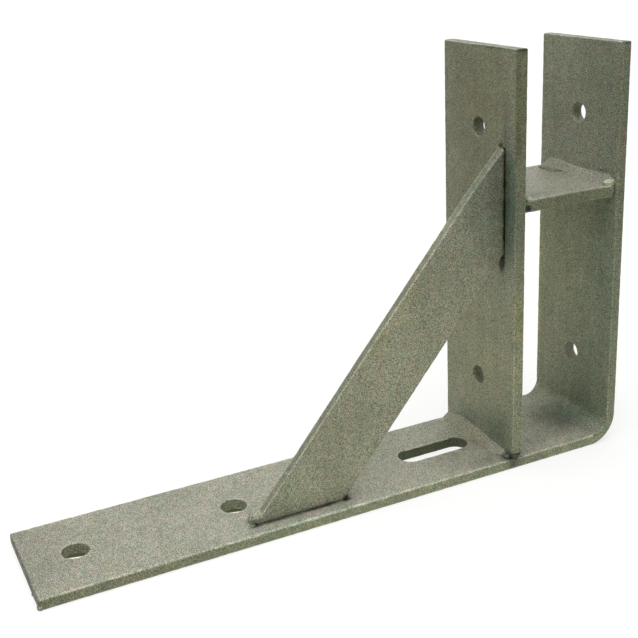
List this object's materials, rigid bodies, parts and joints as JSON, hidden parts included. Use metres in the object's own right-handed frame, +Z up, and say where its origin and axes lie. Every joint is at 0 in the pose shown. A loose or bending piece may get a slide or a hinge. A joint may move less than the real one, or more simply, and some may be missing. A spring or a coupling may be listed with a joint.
{
  "type": "post anchor",
  "caption": "Galvanised steel post anchor: a long drilled foot bent up into an upright, a second upright with a bridge that carries a timber post, and a diagonal brace.",
  "frame": {"origin": "on the ground under the middle of the foot's length and width", "axes": "+X along the foot from its free end to the bent end, +Y across the bar away from the brace, +Z up"},
  "size_m": [0.401, 0.08, 0.275],
  "materials": {
    "galvanised_bar": "hot-dip galvanised flat bar, matt mottled zinc grey",
    "galvanised_weld": "weld beads under the same zinc, rippled and slightly darker"
  },
  "bodies": {
    "root": {"base_strap": "galvanised_bar", "front_upright": "galvanised_bar", "bridge_plate": "galvanised_bar", "diagonal_brace": "galvanised_bar", "upright_foot_weld": "galvanised_weld", "bridge_front_weld": "galvanised_weld", "bridge_rear_weld": "galvanised_weld", "brace_foot_weld": "galvanised_weld", "brace_head_weld": "galvanised_weld"}
  },
  "joints": []
}
